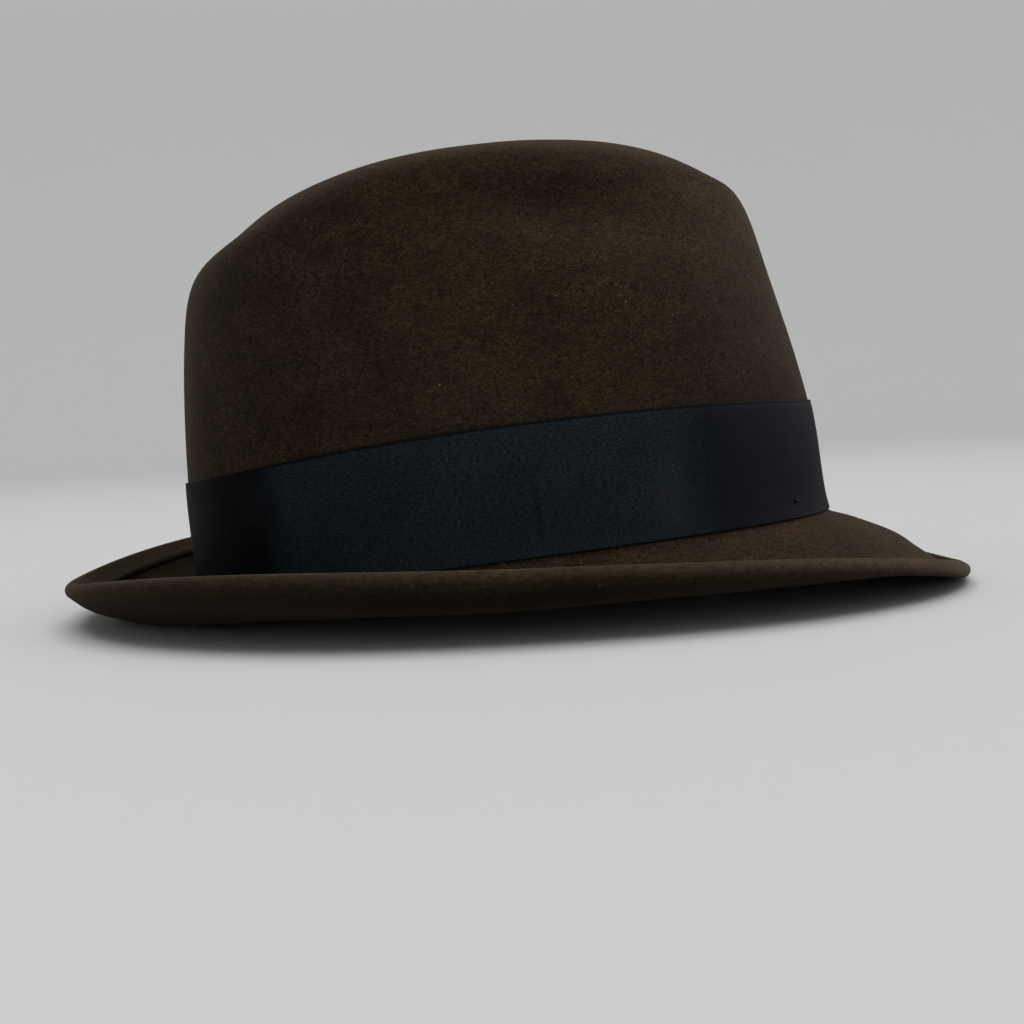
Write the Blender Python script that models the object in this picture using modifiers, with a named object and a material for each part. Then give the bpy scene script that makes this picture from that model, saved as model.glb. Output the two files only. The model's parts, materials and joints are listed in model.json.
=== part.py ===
"""A snap-brim fedora of fur felt, with a grosgrain band and bow, a leather sweatband and a satin lining.

The hat stands on its brim: +X is the wearer's front, +Y the wearer's left and +Z is up.
The felt is a loft through level-by-level rings, from the turned-over edge of the brim, up the
crown wall and down into the centre dent. The rings are in millimetres in the hat's own frame,
whose z = 0 is the corner between crown and brim, and which leans back a little as the hat stands.
"""

import math

import bmesh
import bpy
import numpy as np
from mathutils import Matrix, Vector

MM = 0.001
TURN = 2 * math.pi

# One ring of the felt's outer surface: how far it reaches to the front, to the rear and to each
# side, its heights at the front, the side and the rear, the extra height between front and side
# and between rear and side, and how much narrower its front is than its rear.
RINGS = {
    "edge": (141.5, 146.5, 121.5, -22.5, -0.5, -1.5, 2.0, 2.5, 0.05),
    "curl": (136.0, 141.5, 116.0, -19.0, -5.0, -6.0, 1.5, 4.0, 0.05),
    "low": (129.0, 134.5, 108.0, -13.0, -8.0, -9.5, -1.0, 5.0, 0.05),
    "mid": (123.0, 123.5, 96.0, -8.0, -8.0, -12.0, -2.0, 2.5, 0.05),
    "root": (111.0, 113.5, 87.0, -2.5, -4.0, -10.0, 0.0, 0.0, 0.05),
    "corner": (101.0, 108.0, 82.0, 2.0, 1.0, -6.0, 0.0, 0.0, 0.05),
    "band_top": (97.0, 108.0, 81.5, 37.5, 39.5, 28.5, 0.0, 0.0, 0.05),
    "wall": (87.5, 105.5, 79.0, 78.0, 74.0, 67.0, 0.0, 0.0, 0.07),
    "upper": (80.5, 100.5, 71.5, 103.5, 101.5, 91.0, 0.0, 0.0, 0.12),
    "shoulder": (71.0, 87.5, 64.0, 112.0, 116.3, 102.0, 0.0, 0.0, 0.18),
    "ridge": (54.5, 73.5, 46.5, 120.8, 123.1, 110.8, 0.0, 0.0, 0.24),
    "crest": (42.5, 58.5, 31.0, 117.2, 119.2, 107.4, 0.0, 0.0, 0.28),
    "dent_side": (33.0, 46.0, 18.0, 108.0, 110.0, 101.5, 0.0, 0.0, 0.30),
    "dent_foot": (25.0, 37.5, 10.0, 102.0, 103.0, 97.5, 0.0, 0.0, 0.30),
    "dent_floor": (16.0, 29.0, 5.0, 101.0, 101.0, 97.0, 0.0, 0.0, 0.30),
}
LEVEL = {name: level for level, name in enumerate(RINGS)}
RING_TABLE = np.array(list(RINGS.values()))
SQUARENESS = 2.15  # exponent of the rings' superellipse, where 2 is an ellipse
CORNER_EASE = 0.3  # how much the steep wall shapes the brim beside it
AROUND = 48  # facets round the felt

FELT = 2.0  # thickness of the felt
FOLD_RADIUS = 0.4  # inside radius of the fold at the brim's edge
LIP_WIDTH = 1.0  # how far the turned-over edge reaches, in ring levels
LIP_SLIT = 0.55  # how far the lip's free edge stands off the brim, beyond the fold's width
FRONT_LIP = 0.3  # share of the lip's width and slit that is left at the very front

# The two front pinches, one on each side of the crown
PINCH_X, PINCH_Z = 12.0, 100.5
PINCH_LENGTH, PINCH_HEIGHT = 27.0, 10.0
PINCH_DEPTH = 9.5
PINCH_SPREAD = 30.0  # distance from the middle within which the pinches fade out

# The snap line, where the front brim flexes up and down
FLEX_X, FLEX_Z = 109.5, -2.4
FLEX_SLOPE = math.radians(25.5)

# How the hat stands: leaning back, with its lowest felt pressed flat on the table
LEAN = math.radians(2.3)
SHIFT_X, SHIFT_Z = 1.8, 18.3

GAP = 0.3  # clearance between touching pieces

# The band round the crown, and the flat bow on the wearer's left
BAND_HEIGHT = 38.0
BAND_THICKNESS = 0.6
BAND_SEAM = math.radians(0.3)  # half the gap between the band's two ends, under the bow
BOW_ANGLE = math.radians(90.0)
BOW_LOW, BOW_HIGH = 2.0, 36.0  # its lower and upper edge on the band
BOW_LAYER = GAP + BAND_THICKNESS + GAP  # where its lowest layer starts
BASE_REACH = 42.0
LOOP_LENGTH, LOOP_RISE = 33.0, 2.6
KNOT_WIDTH = 13.0
KNOT_MARGIN = 1.0  # how far the knot wraps past the bow's edges
TACKS = {"front_right": -38, "front_left": 38, "rear_right": -150, "rear_left": 150}
TACK_HEIGHT, TACK_REACH, TACK_RADIUS = 8.0, 1.7, 0.22

# The leather sweatband, from its foot at the corner up inside the crown
SWEATBAND_THICKNESS = 1.0
SWEATBAND_FOOT = LEVEL["corner"] + 0.09
SWEATBAND_TOP = 6.35  # ring level of its upper edge
SWEATBAND_INSET = FELT + GAP + 0.6  # from the felt's outer surface to the leather, at its foot
SWEATBAND_LEAN = 1.0  # how much further in its upper edge is
REED_RADIUS = 1.1
STITCH_RADIUS = 0.25
TRIM_INSET = SWEATBAND_INSET + SWEATBAND_THICKNESS + 1.2
TRIM_THICKNESS = 0.4
INNER_BOW_THICKNESS, INNER_KNOT_THICKNESS = 0.9, 1.4

# The lining
LINER_THICKNESS = 0.5
LINER_INSET = FELT + GAP + 0.5
LINER_TIP_LEVEL = 7.45  # ring level where its side wall meets its tip
LINER_SAG = 2.5
PIPING_RADIUS = 0.9


def ring_points(angles):
    """Every ring at the angles round the hat, 0 at its front: an array of rings, angles, xyz."""
    front, rear, side, z_front, z_side, z_rear, lift_front, lift_rear, egg = RING_TABLE.T[:, :, None]
    cosine, sine = np.cos(angles), np.sin(angles)
    along = np.sign(cosine) * np.abs(cosine) ** (2 / SQUARENESS)
    across = np.sign(sine) * np.abs(sine) ** (2 / SQUARENESS)
    x = (front - rear) / 2 + (front + rear) / 2 * along
    y = side * across * (1 - egg * along)
    z = z_side + (z_front - z_rear) / 2 * cosine + ((z_front + z_rear) / 2 - z_side) * cosine**2
    z = z + np.where(cosine > 0, lift_front, lift_rear) * 4 * cosine**2 * (1 - cosine**2)
    return np.stack([x, y, z], axis=-1)


def pinched(points):
    """The points after both front pinches, pressed in across the hat."""
    x, y, z = np.moveaxis(points, -1, 0)
    pinch = np.exp(-(((x - PINCH_X) / PINCH_LENGTH) ** 2) - ((z - PINCH_Z) / PINCH_HEIGHT) ** 2)
    share = np.sign(y) * (1 - np.exp(-((y / PINCH_SPREAD) ** 2)))
    return np.stack([x, y - PINCH_DEPTH * pinch * share, z], axis=-1)


def surface(levels, angles):
    """The felt's outer surface at each pair of ring level and angle, by Catmull-Rom curves."""
    levels, angles = np.broadcast_arrays(np.asarray(levels, float), np.asarray(angles, float))
    rings = ring_points(angles.ravel())
    first, last = 2 * rings[:1] - rings[1:2], 2 * rings[-1:] - rings[-2:-1]
    rings = np.concatenate([first, rings, last])
    level = levels.ravel()
    start = np.clip(np.floor(level).astype(int), 0, len(RING_TABLE) - 2)
    u = (level - start)[:, None]
    each = np.arange(level.size)
    a, b, c, d = (rings[start + k, each] for k in range(4))
    # The steep wall above the corner would make the brim beside it bulge, so its pull is eased.
    d = np.where((start == LEVEL["root"])[:, None], b + CORNER_EASE * (d - b), d)
    curve = 2 * b + (c - a) * u + (2 * a - 5 * b + 4 * c - d) * u**2 + (3 * b - a - 3 * c + d) * u**3
    return pinched(0.5 * curve).reshape(*levels.shape, 3)


def directions(levels, angles):
    """Unit vectors out of the felt, and down it towards the brim's edge."""
    step = 1e-3
    levels, angles = np.asarray(levels, float), np.asarray(angles, float)
    up = surface(levels + step, angles) - surface(levels - step, angles)
    round_it = surface(levels, angles + step) - surface(levels, angles - step)
    out = np.cross(round_it, up)
    out /= np.linalg.norm(out, axis=-1, keepdims=True)
    return out, -up / np.linalg.norm(up, axis=-1, keepdims=True)


def offset(levels, angles, distance):
    """Points this far out of the felt's outer surface, or inside it where the distance is negative."""
    points = surface(levels, angles)
    distance = np.broadcast_to(distance, points.shape[:-1])
    return points + directions(levels, angles)[0] * distance[..., None]


def lip_share(angles):
    """How much of the lip there is: all of it at the sides and rear, and little at the front."""
    turned = np.clip((0.9 - np.cos(angles)) / 0.7, 0, 1)
    return FRONT_LIP + (1 - FRONT_LIP) * turned**2 * (3 - 2 * turned)


def felt_rows(angles):
    """The felt's visible side, row by row: under the lip, round the fold, then up to the dent."""
    share, width = np.linspace(1, 0, 4)[:, None], lip_share(angles)
    lip = offset(LIP_WIDTH * share * width, angles, 2 * FOLD_RADIUS + LIP_SLIT * width * share**2)
    edge = surface(0.0, angles)
    out, down = directions(0.0, angles)
    turns = np.radians([135, 90, 45])[:, None, None]
    fold = edge + FOLD_RADIUS * (out + np.sin(turns) * down - np.cos(turns) * out)
    brim = surface(np.linspace(0, LEVEL["corner"], 11)[:, None], angles)
    band_wall = surface(np.linspace(LEVEL["corner"], LEVEL["band_top"], 3)[1:, None], angles)
    crown = surface(np.linspace(LEVEL["band_top"], LEVEL["dent_floor"], 33)[1:, None], angles)
    return np.concatenate([lip, fold, brim, band_wall, crown])


def grid_mesh(name, rows, closed=False, zipped=False):
    """A sheet through rows of points in millimetres. A zipped one is sewn up along its last row."""
    mesh = bpy.data.meshes.new(name)
    count, across = rows.shape[:2]
    faces = []
    for row in range(count - 1):
        for column in range(across if closed else across - 1):
            right = (column + 1) % across
            low, high = row * across, (row + 1) * across
            faces.append((low + column, low + right, high + right, high + column))
    if zipped:
        top = (count - 1) * across
        half = across // 2
        faces.append((top, top + 1, top + across - 1))
        for column in range(1, half - 1):
            left, right = across - column, across - column - 1
            faces.append((top + column, top + column + 1, top + right, top + left))
        faces.append((top + half - 1, top + half, top + half + 1))
    mesh.from_pydata((rows.reshape(-1, 3) * MM).tolist(), [], faces)
    mesh.update()
    return mesh


def material(name, color, roughness):
    made = bpy.data.materials.new(name)
    made.use_nodes = True
    shader = made.node_tree.nodes["Principled BSDF"]
    shader.inputs["Base Color"].default_value = (*color, 1)
    shader.inputs["Roughness"].default_value = roughness
    return made


def add_part(name, mesh, finish):
    """Puts a mesh of the hat's own frame into the scene as a named part."""
    part = bpy.data.objects.new(name, mesh)
    mesh.materials.append(finish)
    mesh.shade_smooth()
    parts.objects.link(part)
    part.parent = hat_frame
    return part


def solidify(part, thickness, side=-1):
    """Gives a sheet its thickness: side -1 grows it away from its visible face."""
    modifier = part.modifiers.new("thickness", "SOLIDIFY")
    modifier.thickness = thickness * MM
    modifier.offset = side
    return part


def cut(part, cutter):
    modifier = part.modifiers.new("cut by " + cutter.name, "BOOLEAN")
    modifier.operation = "DIFFERENCE"
    modifier.object = cutter


def add_tube(name, points, radius, finish, closed=False):
    """A round cord, thread or piping through points in millimetres."""
    curve = bpy.data.curves.new(name, "CURVE")
    curve.dimensions = "3D"
    curve.bevel_depth = radius * MM
    curve.bevel_resolution = 2
    curve.use_fill_caps = True
    spline = curve.splines.new("POLY")
    spline.points.add(len(points) - 1)
    for point, place in zip(spline.points, points):
        point.co = (*(place * MM), 1)
    spline.use_cyclic_u = closed
    curve.materials.append(finish)
    part = bpy.data.objects.new(name, curve)
    parts.objects.link(part)
    part.parent = hat_frame
    return part


def add_cutter(name, size, center, parent=None, slope=0.0):
    """A box that only cuts. Size and centre are in millimetres."""
    mesh = bpy.data.meshes.new(name)
    box = bmesh.new()
    bmesh.ops.create_cube(box, size=1)
    bmesh.ops.scale(box, vec=Vector(size) * MM, verts=box.verts)
    bmesh.ops.translate(box, vec=Vector(center) * MM, verts=box.verts)
    box.to_mesh(mesh)
    box.free()
    cutter = bpy.data.objects.new(name, mesh)
    cutter.rotation_euler = (0, slope, 0)
    cutter.parent = parent
    cutter.hide_render = True
    cutter.display_type = "WIRE"
    cutters.objects.link(cutter)
    return cutter


def make_felt(finish):
    """The whole hat body, split into two parts only at the snap line."""
    rows = felt_rows(around)
    table = add_cutter("table_cutter", (400, 400, 20), (0, 0, -10))
    flex = np.array([FLEX_X, 0, FLEX_Z])
    ahead = add_cutter("front_brim_cutter", (100, 300, 300), (50, 0, 0), hat_frame, FLEX_SLOPE)
    behind = add_cutter("crown_cutter", (400, 300, 400), (-200 + GAP, 0, 0), hat_frame, FLEX_SLOPE)
    for cutter in (ahead, behind):
        cutter.location = flex * MM
    crown = add_part("felt_crown_and_brim", grid_mesh("crown", rows, closed=True, zipped=True), finish)
    front = add_part("felt_front_brim", grid_mesh("front", rows, closed=True, zipped=True), finish)
    # The front brim's own origin is on the axis that it flexes about.
    front.data.transform(Matrix.Translation(-flex * MM))
    front.location = flex * MM
    for part, half in ((crown, ahead), (front, behind)):
        solidify(part, FELT)
        cut(part, half)
        cut(part, table)


def on_band(along, height, out):
    """Points on the band: millimetres forward from the bow, up from the corner, and out of the felt."""
    low, high = LEVEL["corner"], LEVEL["band_top"]
    angles = BOW_ANGLE + np.radians(np.linspace(-60, 60, 121))
    lengths = np.linalg.norm(np.diff(surface((low + high) / 2, angles), axis=0), axis=1)
    run = np.concatenate([[0], np.cumsum(lengths)])
    angle = np.interp(run[60] - along, run, angles)
    side = surface(high, angle) - surface(low, angle)
    level = low + height / np.linalg.norm(side, axis=-1)
    return offset(level, angle, out)


def band_strip(name, path, finish, side):
    """A strip of ribbon as tall as the bow, along a path of (along, out) points on the band."""
    along, out = np.array(path).T
    heights = np.linspace(BOW_LOW, BOW_HIGH, 3)[:, None]
    rows = on_band(along, heights, np.broadcast_to(out, (3, len(out))))
    solidify(add_part(name, grid_mesh(name, rows), finish), BAND_THICKNESS, side)


def make_band(finish):
    """The band runs once round the crown, and its ends meet under the bow."""
    angles = np.linspace(BOW_ANGLE + BAND_SEAM, BOW_ANGLE + TURN - BAND_SEAM, AROUND)
    foot = LEVEL["corner"] + GAP / BAND_HEIGHT
    rows = offset(np.linspace(foot, LEVEL["band_top"], 3)[:, None], angles, GAP)
    band = add_part("ribbon_band", grid_mesh("ribbon_band", rows), finish)
    solidify(band, BAND_THICKNESS, side=1)


def make_bow(finish):
    """A flat tailored bow: a base strip, two pressed loops and the wrap round its middle."""
    base_path = [(along, BOW_LAYER) for along in np.linspace(BASE_REACH, -BASE_REACH, 13)]
    band_strip("bow_base", base_path, finish, side=1)
    layer = BOW_LAYER + BAND_THICKNESS + GAP
    inner = KNOT_WIDTH / 2 - 3.0
    radius = LOOP_RISE / 2
    for name, sense in (("bow_loop_front", 1), ("bow_loop_rear", -1)):
        under = [(along, layer) for along in np.linspace(inner, LOOP_LENGTH - radius, 6)]
        bend = [(LOOP_LENGTH - radius + radius * math.cos(turn), layer + radius * (1 + math.sin(turn)))
                for turn in np.radians([-45, 0, 45])]
        over = [(along, layer + LOOP_RISE) for along, _ in reversed(under)]
        path = [(along * sense, out) for along, out in under + bend + over]
        if sense < 0:
            path.reverse()
        band_strip(name, path, finish, side=-1)
    make_knot(finish, layer + LOOP_RISE + GAP)


def make_knot(finish, top):
    """The wrap goes over both edges of the bow and across its front."""
    rim = [(BOW_LOW - KNOT_MARGIN, BOW_LAYER), (BOW_LOW - KNOT_MARGIN, top - 1), (BOW_LOW, top)]
    middle = [((BOW_LOW + BOW_HIGH) / 2, top + 0.4)]
    far_rim = [(BOW_LOW + BOW_HIGH - height, out) for height, out in reversed(rim)]
    height, out = np.array(rim + middle + far_rim).T[..., None]
    along = np.linspace(KNOT_WIDTH / 2, -KNOT_WIDTH / 2, 4) + 0 * height
    rows = on_band(along, height, np.broadcast_to(out, along.shape))
    solidify(add_part("bow_knot", grid_mesh("bow_knot", rows), finish), BAND_THICKNESS, side=1)


def make_tacks(finish):
    """Short stitches that hold the band to the felt."""
    out = GAP + BAND_THICKNESS + GAP + TACK_RADIUS
    for name, degrees in TACKS.items():
        level = LEVEL["corner"] + TACK_HEIGHT / BAND_HEIGHT
        radius = np.hypot(*surface(level, math.radians(degrees))[:2])
        angles = math.radians(degrees) + np.linspace(-TACK_REACH, TACK_REACH, 4) / radius
        add_tube("band_tack_" + name, offset(level, angles, out), TACK_RADIUS, finish)


def make_sweatband(leather, tape, thread):
    """The leather band that meets the head, its stiff cord at the base, and its stitching."""
    levels = np.linspace(SWEATBAND_FOOT, SWEATBAND_TOP, 4)[:, None]
    insets = SWEATBAND_INSET + np.linspace(0, SWEATBAND_LEAN, 4)[:, None]
    rows = offset(levels, around, -insets)
    solidify(add_part("sweatband", grid_mesh("sweatband", rows, closed=True), leather), SWEATBAND_THICKNESS)
    reed = offset(LEVEL["corner"] - 0.01, around, -(FELT + GAP + REED_RADIUS))
    add_tube("sweatband_reed", reed, REED_RADIUS, tape, closed=True)
    stitch_inset = SWEATBAND_INSET + SWEATBAND_THICKNESS + 2 * GAP
    stitches = offset(SWEATBAND_FOOT + 0.08, around, -stitch_inset)
    add_tube("sweatband_stitching", stitches, STITCH_RADIUS, thread, closed=True)


def inner_sheet(name, levels, degrees, inset, thickness, finish):
    """A small flat piece on the sweatband's face, between two levels and two angles round the hat."""
    angles = np.radians(np.linspace(*degrees, 4))
    rows = offset(np.linspace(*levels, 3)[:, None], angles, -inset)
    solidify(add_part(name, grid_mesh(name, rows), finish), thickness)


def make_sweatband_trim(tape, ribbon, cloth):
    """The tape over the sweatband's rear join, the small bow on it, and a blank size tag."""
    inner_sheet("sweatband_seam_tape", (5.35, 6.25), (177.5, 182.5), TRIM_INSET, TRIM_THICKNESS, tape)
    inset = TRIM_INSET + TRIM_THICKNESS + GAP
    loop_levels = (5.27, 5.47)
    inner_sheet("sweatband_bow_left", loop_levels, (170.5, 178.7), inset, INNER_BOW_THICKNESS, ribbon)
    inner_sheet("sweatband_bow_right", loop_levels, (181.3, 189.5), inset, INNER_BOW_THICKNESS, ribbon)
    inner_sheet("sweatband_bow_knot", (5.30, 5.44), (178.9, 181.1), inset, INNER_KNOT_THICKNESS, ribbon)
    inner_sheet("size_tag", (5.75, 6.05), (148, 160), TRIM_INSET, TRIM_THICKNESS, cloth)


def make_lining(satin, cord):
    """A satin side wall, the oval tip under the dent, and the piping that joins them."""
    levels = np.linspace(SWEATBAND_TOP + 0.03, LINER_TIP_LEVEL - 0.06, 9)[:, None]
    wall = grid_mesh("liner_wall", offset(levels, around, -LINER_INSET), closed=True)
    solidify(add_part("liner_wall", wall, satin), LINER_THICKNESS)
    rim = offset(LINER_TIP_LEVEL, around, -(LINER_INSET + 0.8))
    add_tube("liner_piping", rim, PIPING_RADIUS, cord, closed=True)
    center = rim.mean(axis=0)
    shares = np.array([0.975, 0.8, 0.6, 0.4, 0.2, 0.05])[:, None]
    sag = LINER_SAG * np.sin(math.pi / 2 * np.minimum(1, (1 - shares) * 1.6))
    rows = center + (rim - center) * shares[..., None] - np.array([0, 0, 1]) * sag[..., None]
    tip = add_part("liner_tip", grid_mesh("liner_tip", rows, closed=True, zipped=True), satin)
    solidify(tip, LINER_THICKNESS)


for old in list(bpy.data.objects):
    bpy.data.objects.remove(old)

parts = bpy.data.collections.new("fedora_hat")
cutters = bpy.data.collections.new("cutters")
for collection in (parts, cutters):
    bpy.context.scene.collection.children.link(collection)

hat_frame = bpy.data.objects.new("hat_frame", None)
hat_frame.location = (SHIFT_X * MM, 0, SHIFT_Z * MM)
hat_frame.rotation_euler = (0, -LEAN, 0)
parts.objects.link(hat_frame)

around = np.arange(AROUND) * TURN / AROUND
felt = material("felt", (0.018, 0.011, 0.007), 0.9)
grosgrain = material("grosgrain", (0.006, 0.009, 0.013), 0.5)
dark_thread = material("thread", (0.004, 0.004, 0.005), 0.8)
leather = material("sweatband_leather", (0.09, 0.035, 0.014), 0.45)
reed_tape = material("reed_tape", (0.02, 0.015, 0.012), 0.8)
tan_thread = material("sweatband_thread", (0.12, 0.06, 0.03), 0.8)
inner_ribbon = material("inner_ribbon", (0.02, 0.012, 0.008), 0.5)
tag_cloth = material("tag_cloth", (0.5, 0.45, 0.36), 0.8)
satin = material("satin", (0.16, 0.11, 0.06), 0.35)
piping_cord = material("piping", (0.03, 0.02, 0.015), 0.8)

make_felt(felt)
make_band(grosgrain)
make_bow(grosgrain)
make_tacks(dark_thread)
make_sweatband(leather, reed_tape, tan_thread)
make_sweatband_trim(reed_tape, inner_ribbon, tag_cloth)
make_lining(satin, piping_cord)
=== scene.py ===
"""Looks of the snap-brim felt fedora: brushed fur felt, ribbed ribbon and bow, leather and satin inside.

The hat's own frame is in millimetres, with z = 0 at the corner between crown and brim. It stands
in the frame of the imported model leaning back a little, as the CAD does, and place() maps it there.
"""

import json
import math

import bmesh
import bpy
import numpy as np
from mathutils import Matrix, Vector, noise

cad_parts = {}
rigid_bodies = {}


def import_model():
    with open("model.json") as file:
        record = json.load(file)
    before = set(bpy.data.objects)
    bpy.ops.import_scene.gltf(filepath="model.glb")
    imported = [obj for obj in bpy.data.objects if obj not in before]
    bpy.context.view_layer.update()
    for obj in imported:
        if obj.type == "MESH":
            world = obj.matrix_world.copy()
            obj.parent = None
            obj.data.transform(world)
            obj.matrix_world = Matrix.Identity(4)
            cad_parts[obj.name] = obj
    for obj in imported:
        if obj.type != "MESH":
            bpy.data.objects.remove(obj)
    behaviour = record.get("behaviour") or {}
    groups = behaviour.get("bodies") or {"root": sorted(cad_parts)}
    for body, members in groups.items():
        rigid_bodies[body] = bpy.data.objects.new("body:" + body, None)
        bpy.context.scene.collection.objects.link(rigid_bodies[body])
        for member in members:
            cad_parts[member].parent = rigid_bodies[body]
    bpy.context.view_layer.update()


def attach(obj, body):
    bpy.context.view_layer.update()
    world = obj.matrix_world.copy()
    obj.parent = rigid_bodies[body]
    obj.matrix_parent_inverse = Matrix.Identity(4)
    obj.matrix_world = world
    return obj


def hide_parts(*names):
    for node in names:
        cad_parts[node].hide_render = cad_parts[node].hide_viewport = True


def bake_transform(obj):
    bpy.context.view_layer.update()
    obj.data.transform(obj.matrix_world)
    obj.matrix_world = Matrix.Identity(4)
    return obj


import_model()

MM = 0.001
TURN = 2 * math.pi

# The felt's rings, as in the CAD: reach to the front, rear and side, heights at the front, side
# and rear, extra height between front and side and between rear and side, narrowing of the front.
RINGS = {
    "edge": (141.5, 146.5, 121.5, -22.5, -0.5, -1.5, 2.0, 2.5, 0.05),
    "curl": (136.0, 141.5, 116.0, -19.0, -5.0, -6.0, 1.5, 4.0, 0.05),
    "low": (129.0, 134.5, 108.0, -13.0, -8.0, -9.5, -1.0, 5.0, 0.05),
    "mid": (123.0, 123.5, 96.0, -8.0, -8.0, -12.0, -2.0, 2.5, 0.05),
    "root": (111.0, 113.5, 87.0, -2.5, -4.0, -10.0, 0.0, 0.0, 0.05),
    "corner": (101.0, 108.0, 82.0, 2.0, 1.0, -6.0, 0.0, 0.0, 0.05),
    "band_top": (97.0, 108.0, 81.5, 37.5, 39.5, 28.5, 0.0, 0.0, 0.05),
    "wall": (87.5, 105.5, 79.0, 78.0, 74.0, 67.0, 0.0, 0.0, 0.07),
    "upper": (80.5, 100.5, 71.5, 103.5, 101.5, 91.0, 0.0, 0.0, 0.12),
    "shoulder": (71.0, 87.5, 64.0, 112.0, 116.3, 102.0, 0.0, 0.0, 0.18),
    "ridge": (54.5, 73.5, 46.5, 120.8, 123.1, 110.8, 0.0, 0.0, 0.24),
    "crest": (42.5, 58.5, 31.0, 117.2, 119.2, 107.4, 0.0, 0.0, 0.28),
    "dent_side": (33.0, 46.0, 18.0, 108.0, 110.0, 101.5, 0.0, 0.0, 0.30),
    "dent_foot": (25.0, 37.5, 10.0, 102.0, 103.0, 97.5, 0.0, 0.0, 0.30),
    "dent_floor": (16.0, 29.0, 5.0, 101.0, 101.0, 97.0, 0.0, 0.0, 0.30),
}
LEVEL = {name: level for level, name in enumerate(RINGS)}
RING_TABLE = np.array(list(RINGS.values()))
SQUARENESS = 2.15  # the rings' power, where 2 is an ellipse
CORNER_EASE = 0.3

LEAN = math.radians(2.3)
SHIFT_X, SHIFT_Z = 1.8, 18.3

FELT = 2.0
LIP_WIDTH = 1.0  # how far the turned-in lip reaches, in ring levels
LIP_SLIT = 0.55  # how far its free edge stands off the brim
FRONT_LIP = 0.3  # share of the lip that is left at the very front
FOLD_RADIUS = 0.4
PINCH_X, PINCH_Z = 12.0, 100.5
PINCH_LENGTH, PINCH_HEIGHT = 27.0, 10.0
PINCH_DEPTH = 9.5
PINCH_SPREAD = 30.0  # distance from the middle within which the pinches fade out

BAND_HEIGHT = 38.0
BAND_RUN = 590.0  # once round the crown, to the nearest millimetre
RIB_WIDTH = 0.62  # from one rib of the ribbon to the next


# ---------------------------------------------------------------- shape of the felt


def ring_points(angles):
    """Every ring at the angles round the hat, 0 at its front: an array of rings, angles, xyz."""
    front, rear, side, z_front, z_side, z_rear, lift_front, lift_rear, egg = RING_TABLE.T[:, :, None]
    cosine, sine = np.cos(angles), np.sin(angles)
    along = np.sign(cosine) * np.abs(cosine) ** (2 / SQUARENESS)
    across = np.sign(sine) * np.abs(sine) ** (2 / SQUARENESS)
    x = (front - rear) / 2 + (front + rear) / 2 * along
    y = side * across * (1 - egg * along)
    z = z_side + (z_front - z_rear) / 2 * cosine + ((z_front + z_rear) / 2 - z_side) * cosine**2
    z = z + np.where(cosine > 0, lift_front, lift_rear) * 4 * cosine**2 * (1 - cosine**2)
    return np.stack([x, y, z], axis=-1)


def pinched(points):
    """The two front pinches, one each side, pressed in across the hat."""
    x, y, z = np.moveaxis(points, -1, 0)
    pinch = np.exp(-(((x - PINCH_X) / PINCH_LENGTH) ** 2) - ((z - PINCH_Z) / PINCH_HEIGHT) ** 2)
    share = np.sign(y) * (1 - np.exp(-((y / PINCH_SPREAD) ** 2)))
    return np.stack([x, y - PINCH_DEPTH * pinch * share, z], axis=-1)


def surface(levels, angles):
    """The felt's outer surface at each pair of ring level and angle, by Catmull-Rom curves."""
    levels, angles = np.broadcast_arrays(np.asarray(levels, float), np.asarray(angles, float))
    rings = ring_points(angles.ravel())
    first, last = 2 * rings[:1] - rings[1:2], 2 * rings[-1:] - rings[-2:-1]
    rings = np.concatenate([first, rings, last])
    level = levels.ravel()
    start = np.clip(np.floor(level).astype(int), 0, len(RING_TABLE) - 2)
    u = (level - start)[:, None]
    each = np.arange(level.size)
    a, b, c, d = (rings[start + k, each] for k in range(4))
    # The steep wall above the corner would make the brim beside it bulge, so its pull is eased.
    d = np.where((start == LEVEL["root"])[:, None], b + CORNER_EASE * (d - b), d)
    curve = 2 * b + (c - a) * u + (2 * a - 5 * b + 4 * c - d) * u**2 + (3 * b - a - 3 * c + d) * u**3
    return pinched(0.5 * curve).reshape(*levels.shape, 3)


def directions(levels, angles):
    """Unit vectors out of the felt, and down it towards the brim's edge."""
    step = 1e-3
    levels, angles = np.asarray(levels, float), np.asarray(angles, float)
    up = surface(levels + step, angles) - surface(levels - step, angles)
    round_it = surface(levels, angles + step) - surface(levels, angles - step)
    out = np.cross(round_it, up)
    out /= np.linalg.norm(out, axis=-1, keepdims=True)
    return out, -up / np.linalg.norm(up, axis=-1, keepdims=True)


def offset(levels, angles, distance):
    """Points this far out of the felt's outer surface, or inside it where the distance is negative."""
    points = surface(levels, angles)
    return points + directions(levels, angles)[0] * np.broadcast_to(distance, points.shape[:-1])[..., None]


def on_band(along, height, out):
    """Points on the band: millimetres forward from the bow, up from the corner, and out of the felt."""
    low, high = LEVEL["corner"], LEVEL["band_top"]
    angles = BOW_ANGLE + np.radians(np.linspace(-60, 60, 241))
    lengths = np.linalg.norm(np.diff(surface((low + high) / 2, angles), axis=0), axis=1)
    run = np.concatenate([[0], np.cumsum(lengths)])
    angle = np.interp(run[120] - along, run, angles)
    side = surface(high, angle) - surface(low, angle)
    level = low + height / np.linalg.norm(side, axis=-1)
    return offset(level, angle, out)


def place(points):
    """From the hat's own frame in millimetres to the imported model's frame in metres."""
    x, y, z = np.moveaxis(np.asarray(points, float), -1, 0)
    cosine, sine = math.cos(LEAN), math.sin(LEAN)
    world = np.stack([x * cosine - z * sine + SHIFT_X, y, x * sine + z * cosine + SHIFT_Z], axis=-1)
    return world * MM


# ---------------------------------------------------------------- mesh helpers


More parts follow.
